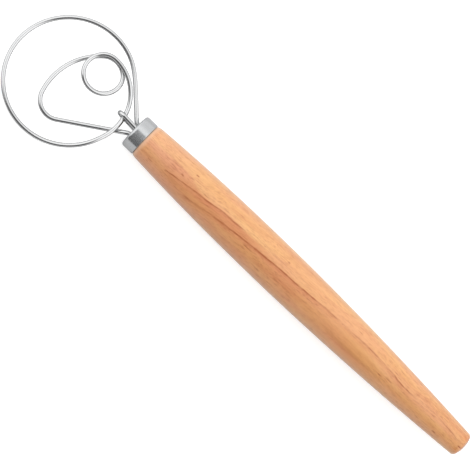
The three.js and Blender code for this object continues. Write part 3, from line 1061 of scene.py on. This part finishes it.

# %% [markdown]
# ## Every piece on its body
# The whisk has no joint, so every piece rides on the one body. Each stands for its own solid and
# takes its own finish.

# %% Fasten the pieces
for piece, node, slot_name, material in (
    (handle, "handle", "wood", oiled_wood),
    (ferrule, "ferrule", "ferrule_steel", satin_steel),
    (head_wire, "head_wire", "wire_steel", polished_wire),
    (eye_wire, "eye_wire", "wire_steel", polished_wire),
    (glue, "adhesive_plug", "glue", amber_resin),
):
    piece.data.materials.append(material)
    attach(piece, "root")
    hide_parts(node)
    print(piece.name, "replaces", node)

# %% [markdown]
# ## The floor
# The whisk lay on white, so the floor is a pale, dull white and lights the whisk's lower side as a
# white table does. What it lacks of pure white it gives off itself, but only towards the camera
# and, more weakly, into mirrors. So that adds no light to the whisk, and the whisk's soft shadow
# stays on the floor.

# %% The floor
FLOOR_HALF = 8.0
FLOOR_WHITE, FLOOR_GLOW = 0.6, 0.68
MIRRORED = 0.15  # share of the glow that mirrors see, since the whisk shades what they show
corners = [(-1, -1, 0), (1, -1, 0), (1, 1, 0), (-1, 1, 0)]
mesh = bpy.data.meshes.new("floor")
mesh.from_pydata((np.array(corners) * FLOOR_HALF).tolist(), [], [(0, 1, 2, 3)])
floor = bpy.data.objects.new("floor", mesh)
bpy.context.scene.collection.objects.link(floor)

pale = Finish(
    "pale_floor",
    Base_Color=(FLOOR_WHITE, FLOOR_WHITE, FLOOR_WHITE, 1),
    Roughness=0.9,
    Specular_IOR_Level=0.0,
)
by_camera, by_gloss, by_glass = (
    pale.node("LightPath", output=f"Is {kind} Ray") for kind in ("Camera", "Glossy", "Transmission")
)
seen = by_camera + (by_gloss + by_glass) * MIRRORED
glow = pale.node("Emission", {"Color": (1, 1, 1, 1), "Strength": seen * FLOOR_GLOW})
both = pale.node("AddShader", {0: glow, 1: Value(pale, pale.shader.outputs[0])})
pale.tree.links.new(both.socket, pale.tree.nodes["Material Output"].inputs["Surface"])
floor.data.materials.append(pale.material)
print("floor", 2 * FLOOR_HALF, "m wide")

# %% [markdown]
# ## The light
# The photograph was taken in a tent of white light: the steel mirrors white nearly all round, and
# a dark place beside the camera puts the dark stripes on the ferrule and on the wires. So the world
# here is that tent, a little brighter round the camera and towards the two ends of the handle, with
# two soft-edged dark places. One is a wedge to the handle's left, which reaches a little farther
# towards the head where it is low. The other is a narrow bar across the camera's own place.
#
# Two round lamps that mirrors don't show shape the light on the wood. The key lamp, to the right
# of the handle, makes that side the brighter one, and a smaller low lamp lifts the other side.

# %% The tent
DARK_TOWARDS = 236  # on the picture, counted from its right side upwards
RIGHT_TOWARDS, HEAD_TOWARDS = 46, 136
TENT_LIGHT, END_LIGHT, FRONT_LIGHT = 0.95, 0.5, 0.38
BAR_ACROSS, BAR_ALONG = 20, 6  # how far the bar reaches from the camera, in degrees
DARK_LIGHT, DARK_FRONT_LIGHT = 0.08, 0.06  # what is left of the light in the dark places


def picture_direction(around, off):
    """Direction `off` degrees away from the camera's, on the side `around` degrees
    counterclockwise from the picture's right: back cos(off) + sin(off) times that side."""
    a, b = math.radians(around), math.radians(off)
    return Vector(back).normalized() * math.cos(b) + math.sin(b) * (
        Vector(right).normalized() * math.cos(a) + Vector(up).normalized() * math.sin(a)
    )


def cosines(*degrees):
    """The cosine of each angle, between which a patch's edge is eased."""
    return [math.cos(math.radians(angle)) for angle in degrees]


def sine(degrees):
    """The sine of an angle, how far a direction so far off the camera's reaches sideways."""
    return math.sin(math.radians(degrees))


world = bpy.data.worlds.new("tent")
bpy.context.scene.world = world
world.use_nodes = True
tent = Pattern(world.node_tree)
look = tent.node("TexCoord", output="Generated")
facing = tent.reach(look, picture_direction(0, 0))
to_dark = tent.reach(look, picture_direction(DARK_TOWARDS, 90))
to_right = tent.reach(look, picture_direction(RIGHT_TOWARDS, 90))
to_head = tent.reach(look, picture_direction(HEAD_TOWARDS, 90))

off_camera = tent.math("SQRT", 1.0001 - facing * facing)
ahead = tent.math("MAXIMUM", to_head / off_camera, 0.0)
low = tent.smooth(facing, *cosines(50, 68))
wedge = tent.smooth(to_dark / off_camera + ahead * low * 0.2, *cosines(61, 37))
wedge = wedge * tent.smooth(facing + ahead * 0.15, *cosines(75, 68))
bar = (to_right / sine(BAR_ACROSS)) ** 2 + (to_head / sine(BAR_ALONG)) ** 2
bar = tent.smooth(bar, 1.5, 0.6) * tent.smooth(facing, *cosines(60, 50))
dark = tent.math("MAXIMUM", wedge, bar)
dark_share = DARK_LIGHT + DARK_FRONT_LIGHT * tent.smooth(facing, *cosines(44, 0))

light = TENT_LIGHT + END_LIGHT * to_head * to_head
light = light + FRONT_LIGHT * tent.smooth(facing, *cosines(64, 26))
light = light * (1 - dark + dark * dark_share)
background = world.node_tree.nodes["Background"]
background.inputs["Color"].default_value = (1, 1, 1, 1)
tent.feed(background.inputs["Strength"], light)
print("tent: light", TENT_LIGHT, "and", len(world.node_tree.nodes), "nodes")

# %% The two lamps
LAMP_DISTANCE = 1.3


def soft_lamp(name, size, radiance, around, off):
    """A round lamp LAMP_DISTANCE from the middle of the whisk that mirrors do not show.

    An even disk of radius r and radiance L gives off L * pi * pi * r * r watts.
    """
    lamp = bpy.data.objects.new(name, bpy.data.lights.new(name, "AREA"))
    bpy.context.scene.collection.objects.link(lamp)
    lamp.data.shape = "DISK"
    lamp.data.size = size
    lamp.data.energy = radiance * math.pi**2 * (size / 2) ** 2
    towards_lamp = picture_direction(around, off).normalized()
    lamp.location = Vector(aim) + towards_lamp * LAMP_DISTANCE
    lamp.rotation_euler = towards_lamp.to_track_quat("Z", "Y").to_euler()
    lamp.visible_glossy = False
    print(name, round(lamp.data.energy, 2), "W at", [round(v, 2) for v in lamp.location])


soft_lamp("key_lamp", 1.0, 0.5, 45, 42)
soft_lamp("low_fill", 0.6, 0.7, 226, 76)

# %% [markdown]
# ## Finish
# The finer surfaces must fill the same box as the solids.

# %% Finish
scene = bpy.context.scene
scene.view_settings.view_transform = "Standard"
